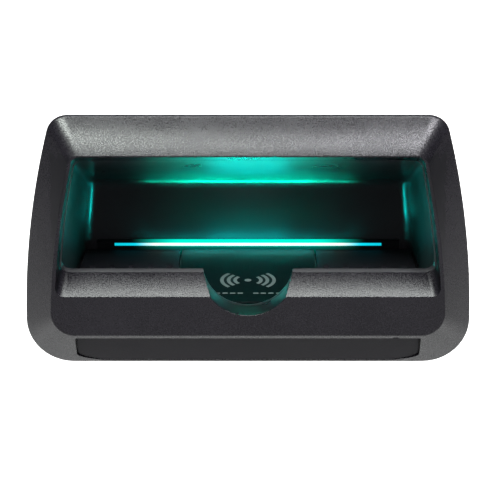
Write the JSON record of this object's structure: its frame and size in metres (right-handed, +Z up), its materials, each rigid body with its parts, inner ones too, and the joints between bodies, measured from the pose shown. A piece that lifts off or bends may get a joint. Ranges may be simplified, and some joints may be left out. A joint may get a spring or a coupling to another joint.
{
  "type": "recessed wireless phone charging pocket",
  "caption": "Bevelled charcoal bezel let into a panel, with a sloped tub behind it, a wireless charging pad, rubber mats, a thumb scoop and a cyan light bar.",
  "frame": {"origin": "middle of the panel cut-out, on the front face of the panel, which the gasket rests on", "axes": "+X to the right seen from the front, +Y into the panel, +Z up"},
  "size_m": [0.2208, 0.105, 0.13],
  "materials": {
    "bezel_plastic": "fine grained charcoal moulding",
    "tub_plastic": "satin black moulding",
    "strip_plastic": "fine grained charcoal moulding",
    "pad_plastic": "satin dark moulding",
    "mat_rubber": "matt ribbed rubber",
    "seal_rubber": "matt closed cell rubber",
    "bar_plastic": "matt black moulding",
    "light_diffuser": "milky diffuser, lit cyan",
    "housing_plastic": "matt black moulding",
    "board_green": "solder mask",
    "chip_black": "moulded epoxy",
    "led_white": "clear over phosphor",
    "coil_copper": "enamelled copper winding",
    "ferrite_grey": "sintered ferrite",
    "screw_steel": "plated steel",
    "gland_nylon": "matt nylon",
    "can_aluminium": "bare can",
    "connector_white": "natural nylon"
  },
  "bodies": {
    "pocket": {"front_bezel": "bezel_plastic", "pocket_tub": "tub_plastic", "flange_gasket": "seal_rubber", "charging_pad": "pad_plastic", "left_grip_mat": "mat_rubber", "right_grip_mat": "mat_rubber", "light_bar": "bar_plastic", "light_window": "light_diffuser", "led_board": "board_green", "charging_coil": "coil_copper", "ferrite_plate": "ferrite_grey", "charger_board": "board_green", "charger_chip": "chip_black", "power_inductor": "ferrite_grey", "filter_capacitor_1": "can_aluminium", "filter_capacitor_2": "can_aluminium", "lead_connector": "connector_white", "electronics_housing": "housing_plastic", "housing_seal": "seal_rubber", "gland_body": "gland_nylon", "gland_seal": "seal_rubber", "gland_lock_nut": "gland_nylon", "gland_cap": "gland_nylon", "led_chip_1": "led_white", "led_chip_2": "led_white", "led_chip_3": "led_white", "led_chip_4": "led_white", "led_chip_5": "led_white", "led_chip_6": "led_white", "led_chip_7": "led_white", "led_chip_8": "led_white", "led_chip_9": "led_white", "led_chip_10": "led_white", "panel_screw_1": "screw_steel", "housing_screw_1": "screw_steel", "board_screw_1": "screw_steel", "panel_screw_2": "screw_steel", "housing_screw_2": "screw_steel", "board_screw_2": "screw_steel", "panel_screw_3": "screw_steel", "housing_screw_3": "screw_steel", "board_screw_3": "screw_steel", "panel_screw_4": "screw_steel", "housing_screw_4": "screw_steel", "board_screw_4": "screw_steel", "bezel_screw_1": "screw_steel", "bezel_screw_2": "screw_steel"},
    "cover_strip": {"lower_cover_strip": "strip_plastic"}
  },
  "joints": [
    {"name": "cover_strip_pull", "type": "slide", "parent": "pocket", "child": "cover_strip", "axis": [0, -0.9272, -0.3746], "range_m": [0, 0.025]}
  ]
}
